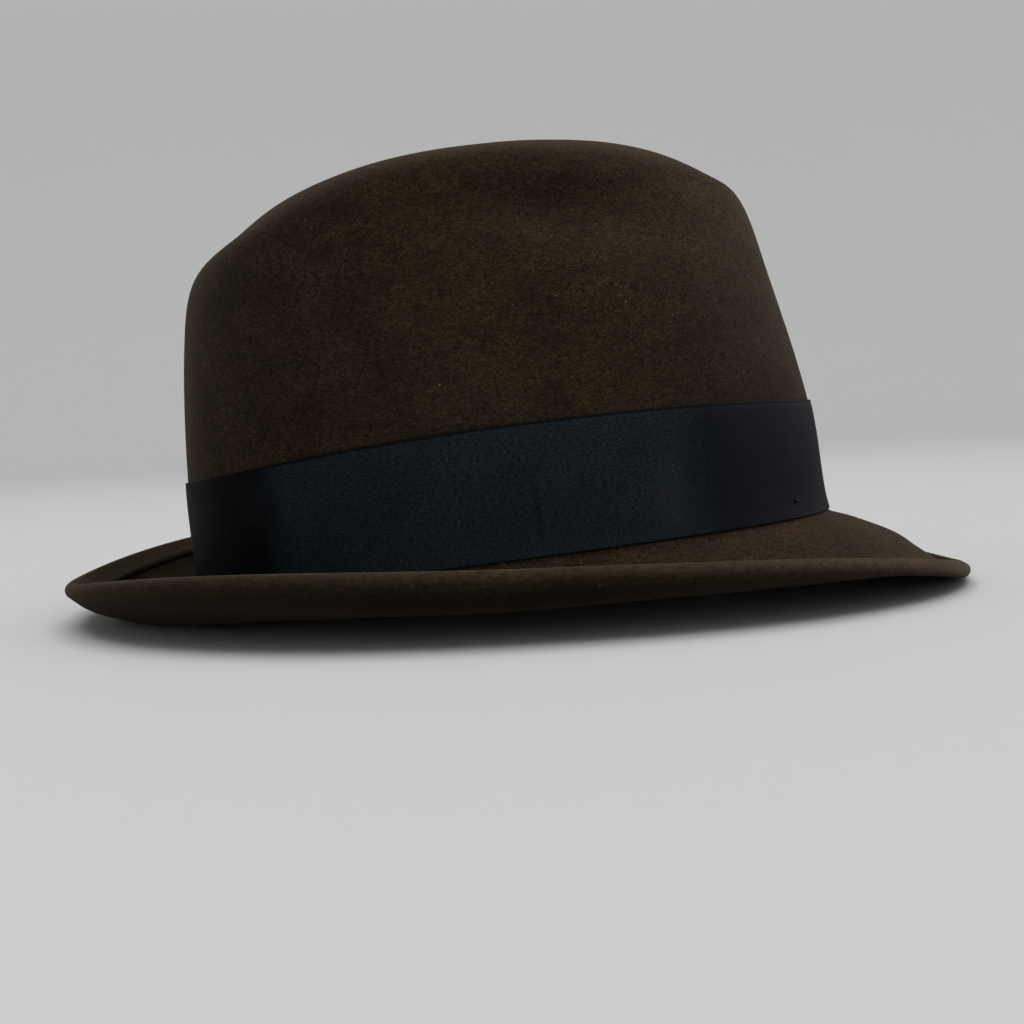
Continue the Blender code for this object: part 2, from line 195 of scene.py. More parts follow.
def grid_mesh(name, rows, closed=False, zipped=False, wrapped=False, uv=None):
    """A sheet through rows of points. It may close along its rows, or wrap from the last to the first,
    or be zipped up along its last row. uv holds a (u, v) in millimetres for each point."""
    mesh = bpy.data.meshes.new(name)
    count, across = rows.shape[:2]
    low = np.arange(count if wrapped else count - 1)[:, None] * across
    high = (low + across) % (count * across)
    left = np.arange(across if closed else across - 1)
    right = (left + 1) % across
    quads = np.stack(np.broadcast_arrays(low + left, low + right, high + right, high + left), axis=-1)
    faces = quads.reshape(-1, 4).tolist()
    if zipped:
        top = (count - 1) * across
        half = across // 2
        faces.append((top, top + 1, top + across - 1))
        for column in range(1, half - 1):
            near, far = across - column, across - column - 1
            faces.append((top + column, top + column + 1, top + far, top + near))
        faces.append((top + half - 1, top + half, top + half + 1))
    mesh.from_pydata(place(rows).reshape(-1, 3), [], faces)
    if uv is not None:
        layer = mesh.uv_layers.new(name="cloth")
        corners = np.empty(len(mesh.loops), np.int32)
        mesh.loops.foreach_get("vertex_index", corners)
        layer.data.foreach_set("uv", uv.reshape(-1, 2)[corners].astype(np.float32).ravel())
    mesh.shade_smooth()
    mesh.update()
    return mesh


def add_piece(name, mesh, finish, replaced=(), body="hat"):
    """A visible piece with its material, which hides the CAD nodes that it stands for."""
    piece = bpy.data.objects.new(name, mesh)
    bpy.context.scene.collection.objects.link(piece)
    mesh.materials.clear()
    mesh.materials.append(finish)
    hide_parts(*replaced)
    if body:
        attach(piece, body)
    return piece


def thicken(mesh, thickness, side=-1.0):
    """The sheet as a shell of this thickness in millimetres, grown inwards, or outwards for side 1."""
    temporary = bpy.data.objects.new("temporary", mesh)
    bpy.context.scene.collection.objects.link(temporary)
    shell = temporary.modifiers.new("shell", "SOLIDIFY")
    shell.thickness = thickness * MM
    shell.offset = side
    graph = bpy.context.evaluated_depsgraph_get()
    solid = bpy.data.meshes.new_from_object(temporary.evaluated_get(graph))
    solid.name = mesh.name
    bpy.data.objects.remove(temporary)
    solid.shade_smooth()
    return solid


def tubes_mesh(name, lines, radius, sides=10, closed=False, strands=0, twist=0.0):
    """Round threads or cords along lines of points. A corded one has strands, twisted per millimetre."""
    points, faces = [], []
    turn = np.arange(sides) * TURN / sides
    for line in lines:
        line = np.asarray(line, float)
        ahead = np.roll(line, -1, axis=0) - np.roll(line, 1, axis=0) if closed else np.gradient(line, axis=0)
        ahead /= np.linalg.norm(ahead, axis=1, keepdims=True)
        aside = np.cross(ahead, (0, 0, 1.0))
        aside /= np.linalg.norm(aside, axis=1, keepdims=True)
        upward = np.cross(aside, ahead)
        run = np.concatenate([[0], np.cumsum(np.linalg.norm(np.diff(line, axis=0), axis=1))])
        reach = np.full((len(line), sides), float(radius))
        if strands:
            reach *= 0.86 + 0.14 * np.abs(np.cos(strands / 2 * turn + twist * run[:, None]))
        if not closed:
            reach[[0, -1]] *= 0.35
        ring = aside[:, None] * np.cos(turn)[:, None] + upward[:, None] * np.sin(turn)[:, None]
        rings = line[:, None] + ring * reach[..., None]
        base = len(points) * sides
        count = len(line)
        points.extend(rings)
        for row in range(count if closed else count - 1):
            low, high = base + row * sides, base + (row + 1) % count * sides
            for side in range(sides):
                right = (side + 1) % sides
                faces.append((low + side, high + side, high + right, low + right))
        if not closed:
            faces.append(tuple(range(base, base + sides)))
            faces.append(tuple(range(base + count * sides - 1, base + (count - 1) * sides - 1, -1)))
    mesh = bpy.data.meshes.new(name)
    mesh.from_pydata(place(np.array(points)).reshape(-1, 3), [], faces)
    mesh.shade_smooth()
    mesh.update()
    return mesh


def soft_step(value, start, end):
    """0 before start, 1 after end, and smooth between them."""
    share = np.clip((value - start) / (end - start), 0, 1)
    return share * share * (3 - 2 * share)


def slow_waves(points, length, seed):
    """Smooth noise from -1 to 1 at each point, whose swells are about this long in millimetres."""
    shift = Vector((seed * 7.3, seed * 3.1, seed * 1.7))
    flat = points.reshape(-1, 3)
    swell = [noise.noise(Vector(point) / length + shift) for point in flat]
    return np.array(swell).reshape(points.shape[:-1])


# ---------------------------------------------------------------- materials


class Finish:
    """A material's node tree, with short calls for the nodes that the finishes share."""

    def __init__(self, name, roughness, space="object"):
        self.material = bpy.data.materials.new(name)
        self.material.use_nodes = True
        self.nodes = self.material.node_tree.nodes
        self.links = self.material.node_tree.links
        self.shader = self.nodes["Principled BSDF"]
        self.shader.inputs["Roughness"].default_value = roughness
        coordinates = self.nodes.new("ShaderNodeTexCoord")
        self.place = coordinates.outputs["UV" if space == "cloth" else "Object"]

    def link(self, value, socket):
        if hasattr(value, "is_output"):
            self.links.new(value, socket)
        else:
            socket.default_value = value

    def stretched(self, scale):
        """The place, scaled by three numbers."""
        mapping = self.nodes.new("ShaderNodeMapping")
        self.links.new(self.place, mapping.inputs["Vector"])
        mapping.inputs["Scale"].default_value = scale
        return mapping.outputs["Vector"]

    def noise(self, scale, detail=2.0, rough=0.5, place=None):
        texture = self.nodes.new("ShaderNodeTexNoise")
        self.links.new(place or self.place, texture.inputs["Vector"])
        texture.inputs["Scale"].default_value = scale
        texture.inputs["Detail"].default_value = detail
        texture.inputs["Roughness"].default_value = rough
        return texture.outputs["Fac"]

    def ramp(self, value, *stops):
        """stops are (position, grey level)."""
        ramp = self.nodes.new("ShaderNodeValToRGB")
        self.links.new(value, ramp.inputs["Fac"])
        marks = ramp.color_ramp.elements
        while len(marks) < len(stops):
            marks.new(0.5)
        for mark, (position, level) in zip(marks, stops):
            mark.position = position
            mark.color = (level, level, level, 1)
        return ramp.outputs["Color"]

    def math(self, operation, first, second=0.0, third=0.0):
        node = self.nodes.new("ShaderNodeMath")
        node.operation = operation
        for socket, value in zip(node.inputs, (first, second, third)):
            self.link(value, socket)
        return node.outputs[0]

    def mix(self, share, first, second, mode="MIX"):
        node = self.nodes.new("ShaderNodeMix")
        node.data_type = "RGBA"
        node.blend_type = mode
        self.link(share, node.inputs["Factor"])
        for name, value in (("A", first), ("B", second)):
            socket = [s for s in node.inputs if s.name == name and s.type == "RGBA"][0]
            self.link((*value, 1) if isinstance(value, tuple) else value, socket)
        return [s for s in node.outputs if s.type == "RGBA"][0]

    def bump(self, height, depth, strength=1.0, below=None):
        """A bump whose height runs over this depth in millimetres."""
        bump = self.nodes.new("ShaderNodeBump")
        bump.inputs["Distance"].default_value = depth * MM
        bump.inputs["Strength"].default_value = strength
        self.links.new(height, bump.inputs["Height"])
        if below is not None:
            self.links.new(below, bump.inputs["Normal"])
        self.links.new(bump.outputs["Normal"], self.shader.inputs["Normal"])
        return bump.outputs["Normal"]

    def attribute(self, name):
        """A value that is marked on the mesh's points."""
        node = self.nodes.new("ShaderNodeAttribute")
        node.attribute_name = name
        return node.outputs["Fac"]

    def color(self, value):
        self.link((*value, 1) if isinstance(value, tuple) else value, self.shader.inputs["Base Color"])

    def sheen(self, weight, roughness, tint):
        self.shader.inputs["Sheen Weight"].default_value = weight
        self.shader.inputs["Sheen Roughness"].default_value = roughness
        self.shader.inputs["Sheen Tint"].default_value = (*tint, 1)


def felt_finish():
    """Dark brown fur felt: short matted hairs lying round the hat, cloudy patches, edges lightened by wear
    and by a painted highlight, and painted shade under the brim, low on the front and in the pinches.
    """
    felt = Finish("brushed_fur_felt", 0.95)
    felt.shader.inputs["Specular IOR Level"].default_value = 0.05
    lying = felt.stretched((1.0, 1.0, 1.9))
    hair = felt.noise(1050, 3.0, 0.7, lying)
    tuft = felt.noise(430, 4.0, 0.75, lying)
    cloud = felt.noise(70, 3.0, 0.6, lying)
    tone = felt.noise(16, 2.0, 0.5)
    root, tip = (0.0075, 0.0051, 0.0025), (0.0455, 0.0313, 0.0168)
    base = felt.mix(felt.ramp(hair, (0.34, 0.0), (0.66, 1.0)), root, tip)
    base = felt.mix(1.0, base, felt.ramp(tuft, (0.32, 0.45), (0.66, 1.0)), "MULTIPLY")
    base = felt.mix(1.0, base, felt.ramp(cloud, (0.35, 0.7), (0.65, 1.0)), "MULTIPLY")
    base = felt.mix(felt.ramp(tone, (0.4, 0.0), (0.62, 1.0)), base, (0.92, 0.82, 0.77), "MULTIPLY")
    # Lighter where the felt is worn, at its edges and ridge; on the top of the rolled edge this is also a
    # painted highlight.
    worn = felt.math("MULTIPLY", felt.attribute("wear_and_highlight"), felt.ramp(tuft, (0.3, 0.35), (0.6, 1.0)))
    base = felt.mix(worn, base, (0.05, 0.037, 0.022))
    lint = felt.noise(640, 0.0, 0.5)
    base = felt.mix(felt.ramp(lint, (0.875, 0.0), (0.9, 1.0)), base, (0.1, 0.085, 0.065))
    # Painted shade: darker on the felt's underside and inside, low on the front of the crown and in the
    # pinches.
    base = felt.mix(felt.attribute("painted_shade"), base, (0.2, 0.14, 0.07), "MULTIPLY")
    felt.color(base)
    felt.sheen(0.045, 0.4, (1.0, 0.7, 0.42))
    pile = felt.bump(tuft, 0.3, 0.55)
    felt.bump(hair, 0.16, 0.7, pile)
    return felt.material


# Places on the ribbon are in millimetres round the band from the bow, by way of the rear, and up it.
# Painted shade: the ribbon is painted darkest at the rear and a darker navy round the front. Each stretch has
# its colour, its strength, and where it sets in, is full, starts to fade out and ends.
RIBBON_PAINTED_SHADE = (
    ((0.0005, 0.0006, 0.0009), 0.9, (70, 120, 216, 227)),
    ((0.002, 0.0021, 0.0036), 0.8, (342, 356, 500, 560)),
)
# Each lighter spot has its place along the ribbon and up it, half length, half height and strength. The first
# is a painted reflection; the second is a lighter spot.
LIGHTER_SPOTS = ((339, 15, 7, 13, 0.55), (214, 28, 6, 7, 0.3))
EDGE_WIDTH = 0.9  # of the ribbon's tight woven edges


def ribbon_finish():
    """Blue-black grosgrain: upright ribs, dark tight edges, a painted reflection spot and a lighter spot, and
    painted light and shade: lighter rib crests, darker troughs, glints on the threads, and a darker rear and
    front.
    """
    ribbon = Finish("ribbed_ribbon", 0.5, "cloth")
    ribbon.shader.inputs["Specular IOR Level"].default_value = 0.02
    split = ribbon.nodes.new("ShaderNodeSeparateXYZ")
    ribbon.links.new(ribbon.place, split.inputs["Vector"])
    along, up = split.outputs["X"], split.outputs["Y"]
    rib = ribbon.math("COSINE", ribbon.math("MULTIPLY", along, TURN / RIB_WIDTH))
    rib = ribbon.math("MULTIPLY_ADD", rib, 0.5, 0.5)
    thread = ribbon.noise(1.15, 4.0, 0.8, ribbon.stretched((0.7, 2.0, 1.0)))
    patch = ribbon.noise(0.045, 3.0, 0.5)
    # Painted light and shade on the ribs: the crests lighter and the troughs darker, in step with the ribs'
    # shape.
    dark, light = (0.0016, 0.0029, 0.0037), (0.0078, 0.0128, 0.0156)
    base = ribbon.mix(ribbon.math("MULTIPLY", rib, 0.45), dark, light)
    # Painted glints: lighter flecks on the threads where they catch the light.
    base = ribbon.mix(ribbon.ramp(thread, (0.44, 0.0), (0.64, 0.8)), base, (0.0175, 0.026, 0.0315))
    base = ribbon.mix(ribbon.ramp(patch, (0.42, 0.2), (0.6, 0.0)), base, (0.0018, 0.0026, 0.0034))
    # Painted shade at the ribbon's rear and round its front.
    for color, strength, places in RIBBON_PAINTED_SHADE:
        stops = zip([place / BAND_RUN for place in places], (0.0, strength, strength, 0.0))
        share = ribbon.ramp(ribbon.math("MULTIPLY", along, 1 / BAND_RUN), *stops)
        base = ribbon.mix(share, base, color)
    # Lighter purplish spots; the first is a painted reflection on the ribbon.
    for center, height, reach, rise, strength in LIGHTER_SPOTS:
        aside = ribbon.math("MULTIPLY", ribbon.math("SUBTRACT", along, center), 1 / reach)
        above = ribbon.math("MULTIPLY", ribbon.math("SUBTRACT", up, height), 1 / rise)
        squared = ribbon.math("ADD", ribbon.math("POWER", aside, 2.0), ribbon.math("POWER", above, 2.0))
        spot = ribbon.math("MULTIPLY", ribbon.ramp(squared, (0.0, strength), (1.0, 0.0)), thread)
        base = ribbon.mix(spot, base, (0.022, 0.017, 0.021))
    for low, high in ((-0.2, EDGE_WIDTH), (BAND_HEIGHT - EDGE_WIDTH, BAND_HEIGHT + 0.2)):
        edge = ribbon.math("COMPARE", up, (low + high) / 2, (high - low) / 2)
        base = ribbon.mix(ribbon.math("MULTIPLY", edge, 0.75), base, (0.0006, 0.0009, 0.002))
    ribbon.color(base)
    weave = ribbon.bump(rib, 0.05, 0.5)
    ribbon.bump(thread, 0.12, 0.6, weave)
    return ribbon.material


def leather_finish():
    """Tan sweatband leather, darker where it has been worn against the head."""
    leather = Finish("sweatband_leather", 0.48)
    grain = leather.nodes.new("ShaderNodeTexVoronoi")
    grain.feature = "DISTANCE_TO_EDGE"
    leather.links.new(leather.place, grain.inputs["Vector"])
    grain.inputs["Scale"].default_value = 900
    stain = leather.noise(45, 4.0, 0.6)
    fine = leather.noise(1500, 2.0, 0.5)
    clean, stained = (0.135, 0.058, 0.024), (0.07, 0.028, 0.012)
    base = leather.mix(leather.ramp(stain, (0.35, 0.0), (0.68, 1.0)), clean, stained)
    pore = leather.ramp(grain.outputs["Distance"], (0.0, 0.35), (0.12, 0.0))
    base = leather.mix(pore, base, (0.04, 0.016, 0.008))
    leather.color(base)
    creases = leather.bump(grain.outputs["Distance"], 0.2, 0.35)
    leather.bump(fine, 0.05, 0.5, creases)
    return leather.material


def satin_finish():
    """Satin lining: a fine weave, sheen and soft watery folds."""
    satin = Finish("satin_lining", 0.34, "cloth")
    satin.shader.inputs["Anisotropic"].default_value = 0.5
    weave = satin.noise(5.0, 2.0, 0.5, satin.stretched((4.0, 0.5, 1.0)))
    fold = satin.noise(0.06, 3.0, 0.5, satin.stretched((1.0, 0.3, 1.0)))
    base = satin.mix(satin.ramp(fold, (0.35, 0.0), (0.7, 1.0)), (0.24, 0.165, 0.09), (0.17, 0.115, 0.062))
    base = satin.mix(satin.ramp(weave, (0.4, 0.0), (0.7, 0.3)), base, (0.12, 0.08, 0.045))
    satin.color(base)
    satin.sheen(0.3, 0.3, (1.0, 0.9, 0.75))
    satin.bump(weave, 0.04, 0.4)
    return satin.material


def tape_finish():
    """Plain woven tape over the stiff cord, with a slight wax."""
    tape = Finish("waxed_tape", 0.75)
    tape.shader.inputs["Specular IOR Level"].default_value = 0.15
    weave = tape.noise(2200, 2.0, 0.6, tape.stretched((1.0, 1.0, 0.4)))
    worn = tape.noise(60, 3.0, 0.5)
    base = tape.mix(tape.ramp(weave, (0.35, 0.0), (0.65, 1.0)), (0.011, 0.008, 0.006), (0.033, 0.024, 0.018))
    tape.color(tape.mix(tape.ramp(worn, (0.4, 0.0), (0.7, 0.4)), base, (0.05, 0.038, 0.028)))
    tape.bump(weave, 0.08, 0.6)
    return tape.material


def inner_ribbon_finish():
    """Narrow brown satin ribbon of the small bow inside."""
    ribbon = Finish("narrow_satin_ribbon", 0.35)
    thread = ribbon.noise(1500, 2.0, 0.6, ribbon.stretched((0.5, 0.5, 3.0)))
    dark, light = (0.012, 0.0075, 0.005), (0.035, 0.022, 0.014)
    ribbon.color(ribbon.mix(ribbon.ramp(thread, (0.35, 0.0), (0.65, 1.0)), dark, light))
    ribbon.sheen(0.3, 0.3, (0.9, 0.7, 0.5))
    ribbon.bump(thread, 0.05, 0.5)
    return ribbon.material


def tag_finish():
    """Blank off-white woven cloth, a little yellowed."""
    tag = Finish("blank_woven_tag", 0.8, "cloth")
    weave = tag.noise(3.0, 2.0, 0.5, tag.stretched((1.0, 2.2, 1.0)))
    age = tag.noise(0.15, 3.0, 0.5)
    base = tag.mix(tag.ramp(age, (0.35, 0.0), (0.7, 1.0)), (0.50, 0.45, 0.35), (0.36, 0.29, 0.19))
    tag.color(tag.mix(tag.ramp(weave, (0.35, 0.0), (0.65, 0.4)), base, (0.25, 0.21, 0.15)))
    tag.bump(weave, 0.06, 0.6)
    return tag.material


def thread_finish(name, color):
    """Twisted sewing thread or covered cord."""
    thread = Finish(name, 0.7)
    strand = thread.noise(2600, 2.0, 0.6)
    darker = tuple(channel * 0.45 for channel in color)
    thread.color(thread.mix(thread.ramp(strand, (0.35, 0.0), (0.65, 1.0)), darker, color))
    thread.sheen(0.2 * max(color), 0.4, (1.0, 1.0, 1.0))
    thread.shader.inputs["Specular IOR Level"].default_value = 0.1
    thread.bump(strand, 0.08, 0.6)
    return thread.material


# ---------------------------------------------------------------- felt body

AROUND = 320
BRIM_ROWS = 46
CROWN_ROWS = 92
LIP_ROWS = 9
FOLD_ROWS = 9

# Where painted shade darkens the crown, in its pinches.
PINCH_SHADE_Z = 108.0
PINCH_SHADE_LENGTH, PINCH_SHADE_HEIGHT = 30.0, 11.0


def body_levels():
    """The ring levels of the felt's rows, from the brim's edge up to the dent."""
    brim = np.linspace(0, LEVEL["corner"], BRIM_ROWS, endpoint=False)
    crown = np.linspace(LEVEL["corner"], LEVEL["dent_floor"], CROWN_ROWS)
    return np.concatenate([brim, crown])[:, None]


def felt_rows(angles):
    """The felt's visible side: under the lip, round the fold, then up to the dent."""
    # The lip is wide and stands off a little at the sides and rear, and nearly goes at the front.
    width = FRONT_LIP + (1 - FRONT_LIP) * soft_step(-np.cos(angles), -0.9, -0.2)
    share = np.linspace(1, 0, LIP_ROWS)[:, None]
    lip = offset(LIP_WIDTH * share * width, angles, 2 * FOLD_RADIUS + LIP_SLIT * width * share**2)
    edge = surface(0.0, angles)
    out, down = directions(0.0, angles)
    turns = np.radians(np.linspace(180, 0, FOLD_ROWS + 2)[1:-1])[:, None, None]
    fold = edge + FOLD_RADIUS * (out + np.sin(turns) * down - np.cos(turns) * out)
    levels = body_levels()
    body = surface(levels, angles)
    # Steaming and handling leave the felt a little uneven, except where the band holds it.
    held = soft_step(levels, 3.2, 4.6) * (1 - soft_step(levels, 6.05, 6.9))
    loose = (1 - held) * soft_step(levels, 0.0, 1.2)
    swell = 0.2 * slow_waves(body, 42, 1) + 0.12 * slow_waves(body, 17, 2)
    body = body + directions(levels, angles)[0] * (swell * loose)[..., None]
    return np.concatenate([lip, fold, body])


def mark_wear_and_shade(mesh, angles):
    """Marks on each point how much the felt is lightened, by wear at its edges and ridge and by a painted
    highlight on the top of the rolled edge, and how much painted shade darkens it: on its underside and
    inside, low on the front of the crown and in the pinches. The turned-in lip counts as level -1, and the
    fold rises from that to 0."""
    lip = np.full((LIP_ROWS, 1), -1.0)
    fold = np.linspace(-1, 0, FOLD_ROWS)[:, None]
    levels = np.concatenate([lip, fold, body_levels()])
    points = surface(levels, angles)
    ahead = soft_step(np.cos(angles), 0.1, 0.75)
    ridge = 0.16 * np.exp(-(((levels - LEVEL["ridge"]) / 0.8) ** 2))
    # Painted shade in the pinches, low on the front of the crown, and on the underside and inside.
    aside, above = points[..., 0] - PINCH_X, points[..., 2] - PINCH_SHADE_Z
    pinch_shade = 0.22 * np.exp(-((aside / PINCH_SHADE_LENGTH) ** 2) - (above / PINCH_SHADE_HEIGHT) ** 2)
    low_front = 0.5 * ahead * (1 - soft_step(levels, 5.9, 7.7)) * soft_step(levels, 4.8, 5.2)
    # The top of the rolled edge is lighter partly from wear and partly as a painted highlight.
    edge_wear_and_highlight = 0.6 * (1 - soft_step(levels, 0.0, 0.5))
    edge_below = 0.55 * (1 - soft_step(levels, -0.8, 0.3))
    underside = 0.88 * soft_step(levels, -0.8, 1.0)
    # The outer side of the felt comes first in the mesh, then its underside.
    marks = {"wear_and_highlight": (edge_wear_and_highlight + ridge, edge_below), "painted_shade": (low_front + pinch_shade, underside)}
    for name, sides in marks.items():
        shares = np.concatenate([np.broadcast_to(side, points.shape[:-1]).ravel() for side in sides])
        amount = np.zeros(len(mesh.vertices), np.float32)
        amount[:shares.size] = shares
        mesh.attributes.new(name, "FLOAT", "POINT").data.foreach_set("value", amount)


def make_felt():
    """One continuous felt body, in place of the CAD's two felt parts."""
    angles = np.arange(AROUND) * TURN / AROUND
    mesh = thicken(grid_mesh("felt_body", felt_rows(angles), closed=True, zipped=True), FELT)
    # The lowest felt is pressed flat on the table.
    for vertex in mesh.vertices:
        vertex.co.z = max(vertex.co.z, 0.0)
    mark_wear_and_shade(mesh, angles)
    replaced = ("felt_crown_and_brim", "felt_front_brim")
    felt = add_piece("felt_body", mesh, felt_finish(), replaced, body=None)
    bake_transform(felt)


# ---------------------------------------------------------------- band and bow

GAP = 0.3
BAND_THICKNESS = 0.6
BAND_FOOT = 0.4
BAND_WEAVE = 0.7  # share of the band's thickness below its ribs
CREASE_ALONG, CREASE_HEIGHT = 300.0, 14.0  # the band's small upright crease, on the wearer's right
CREASE_WIDTH, CREASE_RISE = 1.3, 7.0
BOW_ANGLE = math.radians(90.0)
BOW_LAYER = GAP + BAND_THICKNESS + GAP
BOW_LOW, BOW_HIGH = 2.0, 36.0
BASE_REACH = 42.0
LOOP_LENGTH, LOOP_RISE = 33.0, 2.6
WAIST_REACH = 11.0  # how far along the loops the wrap draws them in
KNOT_WIDTH = 13.0
PLEAT_WIDTH = 4.4

RIB_DEPTH = 0.022
RIB_COLUMNS = 4  # grid columns to one rib
GROOVE_DEPTH, GROOVE_WIDTH = 0.08, 0.3


def with_ribs(rows, cloth, width):
    """Ribbon rows with grosgrain ribs across them, and a groove beside each edge."""
    u, v = cloth[..., 0], cloth[..., 1]
    lift = RIB_DEPTH * np.cos(TURN * u / RIB_WIDTH)
    inset = np.minimum(v, width - v)
    lift = lift - GROOVE_DEPTH * np.exp(-(((inset - EDGE_WIDTH) / GROOVE_WIDTH) ** 2))
    normal = np.cross(np.gradient(rows, axis=1), np.gradient(rows, axis=0))
    normal /= np.linalg.norm(normal, axis=-1, keepdims=True)
    return rows + normal * lift[..., None]


def ribbon_heights(low, high, count):
    """Heights up a ribbon, closer together at its two edges."""
    edge = np.array([0, 0.5, 1, 1.5]) * EDGE_WIDTH
    return np.concatenate([low + edge, np.linspace(low + 2.2, high - 2.2, count), high - edge[::-1]])


def make_band(finish):
    """The band runs once round the crown, and its ends meet under the bow."""
    half_seam = math.radians(0.3)
    rough = np.linspace(BOW_ANGLE + half_seam, BOW_ANGLE + TURN - half_seam, 721)
    middle = surface((LEVEL["corner"] + LEVEL["band_top"]) / 2, rough)
    run = np.concatenate([[0], np.cumsum(np.linalg.norm(np.diff(middle, axis=0), axis=1))])
    count = int(run[-1] / RIB_WIDTH * RIB_COLUMNS)
    along = np.linspace(0, run[-1], count)
    angles = np.interp(along, run, rough)
    height = ribbon_heights(BAND_FOOT, BAND_HEIGHT, 9)[:, None] + 0 * along
    height[[0, -1]] += 0.1 * np.cos(TURN * along / RIB_WIDTH)
    levels = LEVEL["corner"] + height / BAND_HEIGHT
    rows = offset(levels, angles, GAP)
    # A short crease, and the slow ripple of a ribbon pressed on by hand.
    crease = (along - CREASE_ALONG) / CREASE_WIDTH
    fold = 0.9 * crease * np.exp(-(crease**2)) * np.exp(-(((height - CREASE_HEIGHT) / CREASE_RISE) ** 2))
    ripple = 0.14 * (1 + slow_waves(rows[:, ::8], 21, 3))
    columns = np.arange(len(along))
    ripple = np.array([np.interp(columns, columns[::8], line) for line in ripple])
    rows = offset(levels, angles, GAP + np.maximum(ripple + fold, -0.15))
    cloth = np.stack([np.broadcast_to(along, height.shape), height], axis=-1)
    face = grid_mesh("band", with_ribs(rows, cloth, BAND_HEIGHT), uv=cloth)
    mesh = thicken(face, BAND_THICKNESS * BAND_WEAVE, 1.0)
    band = add_piece("band_ribbon", mesh, finish, ("ribbon_band",))


def add_strip(name, path, low, high, thickness, side, finish, replaced, waist=0.0):
    """A ribbed strip on the band, along a path of (along, out) points. Its ends may be drawn in."""
    path = np.asarray(path, float)
    run = np.concatenate([[0], np.cumsum(np.linalg.norm(np.diff(path, axis=0), axis=1))])
    u = np.linspace(0, run[-1], int(run[-1] / RIB_WIDTH * RIB_COLUMNS))
    along, out = np.interp(u, run, path[:, 0]), np.interp(u, run, path[:, 1])
    height = ribbon_heights(low, high, 9)[:, None] + 0 * u
    middle = (low + high) / 2
    drawn = waist * np.exp(-((along / WAIST_REACH) ** 2))
    cloth = np.stack([np.broadcast_to(u, height.shape), height - low], axis=-1)
    rows = on_band(along, middle + (height - middle) * (1 - drawn), np.broadcast_to(out, height.shape))
    mesh = thicken(grid_mesh(name, with_ribs(rows, cloth, high - low), uv=cloth), thickness, side)
    strip = add_piece(name, mesh, finish, (replaced,))


def make_bow(finish):
    """A flat tailored bow: a base strip, two pressed loops and the wrap round its middle."""
    base = [(along, BOW_LAYER) for along in np.linspace(BASE_REACH, -BASE_REACH, 60)]
    add_strip("bow_base_ribbon", base, BOW_LOW, BOW_HIGH, BAND_THICKNESS, 1, finish, "bow_base")
    layer = BOW_LAYER + BAND_THICKNESS + GAP
    inner = KNOT_WIDTH / 2 - 3.0
    radius = LOOP_RISE / 2
    for name, sense in (("front", 1), ("rear", -1)):
        reach = np.linspace(inner, LOOP_LENGTH - radius, 40)
        under = [(along, layer) for along in reach]
        bend = [(LOOP_LENGTH - radius + radius * math.cos(a), layer + radius * (1 + math.sin(a)))
                for a in np.radians(np.linspace(-80, 80, 17))]
        puff = 0.7 * np.sin(math.pi * np.clip((reach - 5) / (LOOP_LENGTH - radius - 5), 0, 1))
        over = [(along, layer + LOOP_RISE + rise) for along, rise in zip(reach[::-1], puff[::-1])]
        path = [(along * sense, out) for along, out in under + bend + over]
        if sense < 0:
            path.reverse()
        add_strip("bow_loop_ribbon_" + name, path, BOW_LOW, BOW_HIGH, BAND_THICKNESS, -1, finish,
                  "bow_loop_" + name, waist=0.09)
    make_knot(finish, layer + LOOP_RISE + GAP)


def make_knot(finish, top):
    """The wrap: a short ribbon turned round the bow's middle, softly pleated along its length."""
    middle, half = (BOW_LOW + BOW_HIGH) / 2, (BOW_HIGH - BOW_LOW) / 2 + 1.0
    rise = top - BOW_LAYER
    turn = np.linspace(0, math.pi, 121)
    # A flattened half round: it climbs steeply over each edge of the bow and is nearly flat between.
    height = middle - half * np.sign(np.cos(turn)) * np.abs(np.cos(turn)) ** 0.35
    out = BOW_LAYER + rise * np.sin(turn) ** 0.35 + 0.4 * np.sin(turn)
    run = np.concatenate([[0], np.cumsum(np.hypot(np.diff(height), np.diff(out)))])
    u = np.linspace(0, run[-1], int(run[-1] / RIB_WIDTH * RIB_COLUMNS))
    height, out = np.interp(u, run, height)[:, None], np.interp(u, run, out)[:, None]
    along = ribbon_heights(-KNOT_WIDTH / 2, KNOT_WIDTH / 2, 13)[::-1] + 0 * u[:, None]
    risen = soft_step(out, BOW_LAYER + 1, top)
    pleats = 0.22 * np.cos(along * TURN / PLEAT_WIDTH) * risen
    edge = -0.5 * soft_step(np.abs(along), KNOT_WIDTH / 2 - PLEAT_WIDTH / 2, KNOT_WIDTH / 2) * risen
    rows = on_band(along, height + 0 * along, out + pleats + edge + 0.1)
    cloth = np.stack([u[:, None] + 0 * along, along + KNOT_WIDTH / 2], axis=-1)
    mesh = thicken(grid_mesh("knot", with_ribs(rows, cloth, KNOT_WIDTH), uv=cloth), BAND_THICKNESS, 1)
    knot = add_piece("bow_wrap_ribbon", mesh, finish, ("bow_knot",))


TACKS = {"front_right": -38, "front_left": 38, "rear_right": -150, "rear_left": 150}


